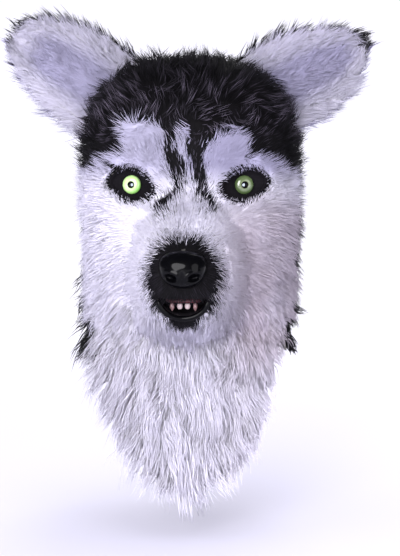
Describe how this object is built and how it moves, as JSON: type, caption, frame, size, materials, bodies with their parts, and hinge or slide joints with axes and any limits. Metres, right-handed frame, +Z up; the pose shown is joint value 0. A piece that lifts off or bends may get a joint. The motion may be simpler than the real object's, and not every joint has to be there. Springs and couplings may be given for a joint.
{
  "type": "wolf mask",
  "caption": "Plush wolf mask for the whole head: a hollow cloth hood and muzzle under dark and white fur, with cupped ears, glossy eyes and nose, a toothed mouth and a long chest bib.",
  "frame": {"origin": "The highest point of the hood's hollow, where the crown of the wearer's head touches", "axes": "+Z up the wearer's head, the face and muzzle look along -Y, the wearer's left ear is on +X"},
  "size_m": [0.4367, 0.3834, 0.5658],
  "materials": {
    "backing_cloth": "matt knitted backing cloth",
    "dark_fur": "deep dark brown-black faux fur, ticked with grey",
    "white_fur": "deep white faux fur",
    "socket_cloth": "black mesh cloth",
    "iris": "glossy pale green",
    "gloss_black": "glossy black moulded",
    "gum": "glossy dark red",
    "tooth": "glossy ivory"
  },
  "bodies": {
    "root": {"hood_backing": "backing_cloth", "bib_backing": "backing_cloth", "crown_fur": "dark_fur", "nape_fur": "dark_fur", "face_fur": "white_fur", "muzzle_fur": "dark_fur", "chin_fur": "dark_fur", "bib_fur": "white_fur", "ear_back_left": "dark_fur", "ear_lining_left": "white_fur", "ear_back_right": "dark_fur", "ear_lining_right": "white_fur", "eye_surround_left": "socket_cloth", "iris_left": "iris", "pupil_left": "gloss_black", "eye_surround_right": "socket_cloth", "iris_right": "iris", "pupil_right": "gloss_black", "nose": "gloss_black", "lower_lip": "gloss_black", "mouth_lining": "socket_cloth", "upper_gum": "gum", "tooth_1": "tooth", "tooth_2": "tooth", "tooth_3": "tooth", "tooth_4": "tooth"}
  },
  "joints": []
}
